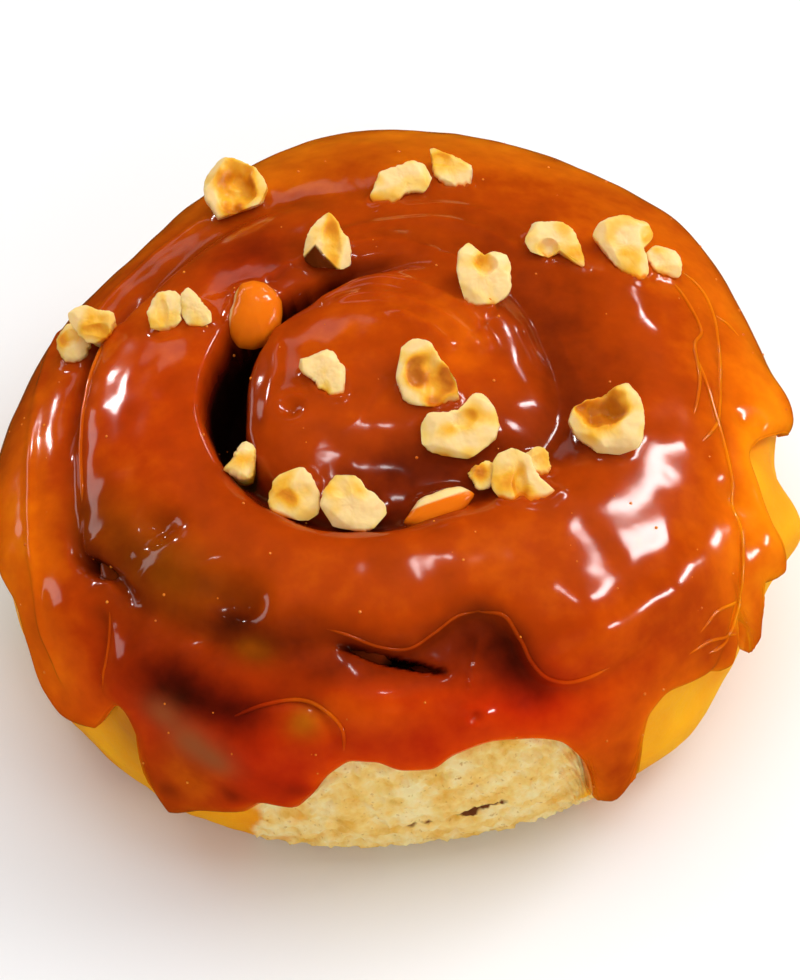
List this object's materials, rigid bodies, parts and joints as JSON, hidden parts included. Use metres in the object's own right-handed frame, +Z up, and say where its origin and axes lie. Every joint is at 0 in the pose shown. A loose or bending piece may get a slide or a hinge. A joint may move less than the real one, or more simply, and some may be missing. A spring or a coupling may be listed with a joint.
{
  "type": "cinnamon roll",
  "caption": "Round coiled sweet roll under poured glossy caramel that runs down its sides, topped with pieces of broken hazelnut.",
  "frame": {"origin": "middle of the flat underside, on the surface that the roll rests on", "axes": "+Z up, -Y towards the front, where the torn crumb shows under the caramel, +X to the right"},
  "size_m": [0.1108, 0.1132, 0.052],
  "materials": {
    "dough": "soft baked dough, matt, pale torn crumb at the front",
    "caramel": "thick glossy caramel, slightly see-through at its edges",
    "nut": "broken roasted hazelnut, matt and fibrous, golden in its hollows",
    "coated_nut": "hazelnut under a glossy coat of caramel"
  },
  "bodies": {
    "root": {"bun": "dough", "caramel": "caramel", "nut_01": "nut", "nut_02": "nut", "nut_03": "nut", "nut_04": "nut", "nut_05": "nut", "nut_06": "coated_nut", "nut_07": "nut", "nut_08": "nut", "nut_09": "nut", "nut_10": "nut", "nut_11": "nut", "nut_12": "nut", "nut_13": "nut", "nut_14": "nut", "nut_15": "nut", "nut_16": "nut", "nut_17": "nut", "nut_18": "nut", "nut_19": "nut", "nut_20": "nut", "nut_21": "coated_nut", "nut_22": "nut", "nut_23": "nut", "nut_24": "nut"}
  },
  "joints": []
}
